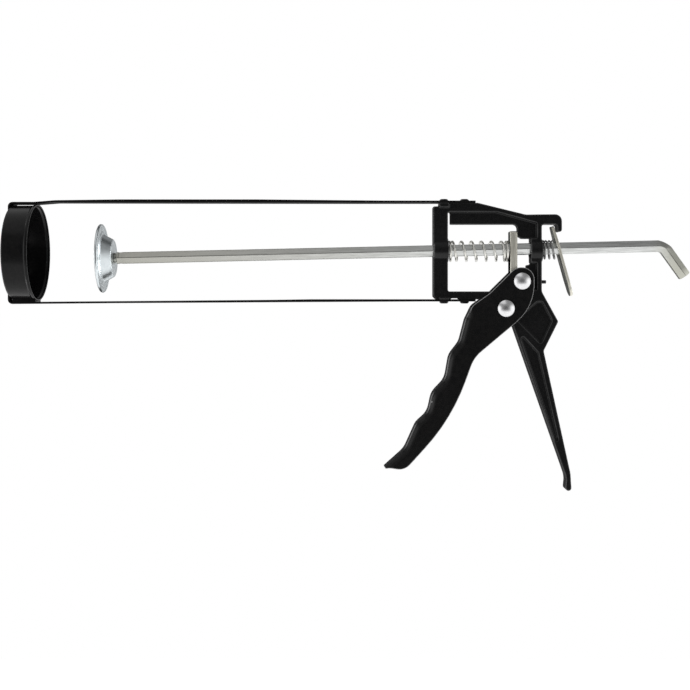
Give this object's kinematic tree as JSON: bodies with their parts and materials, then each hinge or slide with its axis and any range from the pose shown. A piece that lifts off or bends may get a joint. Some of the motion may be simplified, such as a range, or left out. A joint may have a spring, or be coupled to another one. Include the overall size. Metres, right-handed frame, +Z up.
{
  "type": "caulking gun",
  "caption": "Skeleton caulking gun: an open cradle with a front cup, a hexagonal push rod with a plunger disc, and a trigger that feeds the rod forward.",
  "frame": {"origin": "centre of the front cup's inner face, where the cartridge's shoulder seats", "axes": "+X runs from the cup to the bent tail of the push rod, +Z is up, and the gun is symmetric about Y = 0"},
  "size_m": [0.3766, 0.0534, 0.1613],
  "materials": {
    "black_cast": "glossy black enamel on a die casting",
    "black_sheet": "glossy black enamel on pressed steel",
    "zinc_plate": "zinc plated, satin, lightly streaked",
    "zinc_disc": "bright zinc plate on a pressed disc",
    "rod_steel": "drawn steel, zinc plated",
    "spring_steel": "zinc plated spring wire",
    "dark_spring": "oiled spring wire",
    "chrome_rivet": "satin chrome"
  },
  "bodies": {
    "frame": {"body_casting": "black_cast", "front_cup": "black_sheet", "top_strap": "black_sheet", "bottom_strap": "black_sheet", "top_front_rivet": "black_sheet", "top_rear_rivet": "black_sheet", "bottom_front_rivet": "black_sheet", "bottom_rear_rivet": "black_sheet", "trigger_pivot_rivet": "chrome_rivet", "drive_spring": "spring_steel", "release_spring": "dark_spring"},
    "trigger": {"trigger": "black_sheet", "push_rivet": "chrome_rivet"},
    "drive_plate": {"drive_plate": "zinc_plate"},
    "rod": {"push_rod": "rod_steel"},
    "disc": {"plunger_disc": "zinc_disc"},
    "release_lever": {"release_lever": "zinc_plate"}
  },
  "joints": [
    {"name": "trigger_pivot", "type": "hinge", "parent": "frame", "child": "trigger", "pos_m": [0.2723, 0, -0.0308], "axis": [0, -1, 0], "range_deg": [0, 35], "stiffness_Nm_per_rad": 0.15, "springref_deg": -17.19},
    {"name": "drive_plate_slide", "type": "slide", "parent": "frame", "child": "drive_plate", "axis": [-0.9998, 0, -0.022], "range_m": [0, 0.0106], "deforming": ["drive_spring"]},
    {"name": "rod_slide", "type": "slide", "parent": "frame", "child": "rod", "axis": [0.9998, 0, 0.022], "range_m": [-0.044, 0.17]},
    {"name": "disc_spin", "type": "hinge", "parent": "rod", "child": "disc", "pos_m": [0.05559, 0, -0.00302], "axis": [0.9998, 0, 0.022], "continuous": true},
    {"name": "release_lever_tilt", "type": "hinge", "parent": "frame", "child": "release_lever", "pos_m": [0.2994, 0, 0.0128], "axis": [0, 1, 0], "range_deg": [0, 14], "stiffness_Nm_per_rad": 0.02, "springref_deg": -22.92, "deforming": ["release_spring"]}
  ],
  "couplings": [
    {"joint": "drive_plate_slide", "follows": "trigger_pivot", "m_per_rad": 0.0168}
  ]
}
